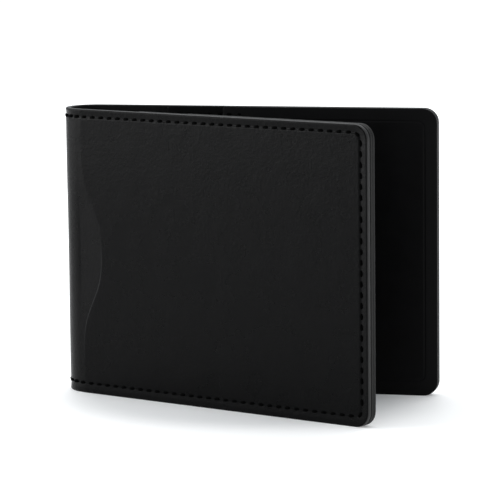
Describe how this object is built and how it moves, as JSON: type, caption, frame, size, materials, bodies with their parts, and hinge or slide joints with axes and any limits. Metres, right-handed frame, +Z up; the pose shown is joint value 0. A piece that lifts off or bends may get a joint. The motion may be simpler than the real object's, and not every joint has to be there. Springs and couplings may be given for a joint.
{
  "type": "bifold wallet",
  "caption": "Slim leather bifold wallet with two side-entry pockets in each half, stitched round its edges, standing part open on its long edge.",
  "frame": {"origin": "on the surface the wallet stands on, under the middle of its bounding box", "axes": "+X from the fold towards the free edges, +Y from the front half towards the rear half, +Z up along the fold"},
  "size_m": [0.1137, 0.0584, 0.089],
  "materials": {
    "cover_leather": "smooth waxed face, bare flesh side, burnished cut edges",
    "pocket_leather": "smooth leather, creased along its edges",
    "thread": "waxed black thread"
  },
  "bodies": {
    "front_half": {"front_cover": "cover_leather", "front_long_pocket": "pocket_leather", "front_short_pocket": "pocket_leather", "front_top_thread": "thread", "front_side_thread": "thread", "front_bottom_thread": "thread"},
    "rear_half": {"rear_cover": "cover_leather", "rear_long_pocket": "pocket_leather", "rear_short_pocket": "pocket_leather", "rear_top_thread": "thread", "rear_side_thread": "thread", "rear_bottom_thread": "thread"},
    "spine": {"spine_cover": "cover_leather", "spine_top_thread": "thread", "spine_bottom_thread": "thread"}
  },
  "joints": [
    {"name": "front_fold", "type": "hinge", "parent": "spine", "child": "front_half", "pos_m": [-0.05446, -0.00566, 0], "axis": [0, 0, -1], "range_deg": [-12, 79]},
    {"name": "rear_fold", "type": "hinge", "parent": "spine", "child": "rear_half", "pos_m": [-0.05446, 0.00566, 0], "axis": [0, 0, 1], "range_deg": [-12, 79]}
  ],
  "couplings": [
    {"joint": "rear_fold", "follows": "front_fold", "ratio": 1}
  ]
}
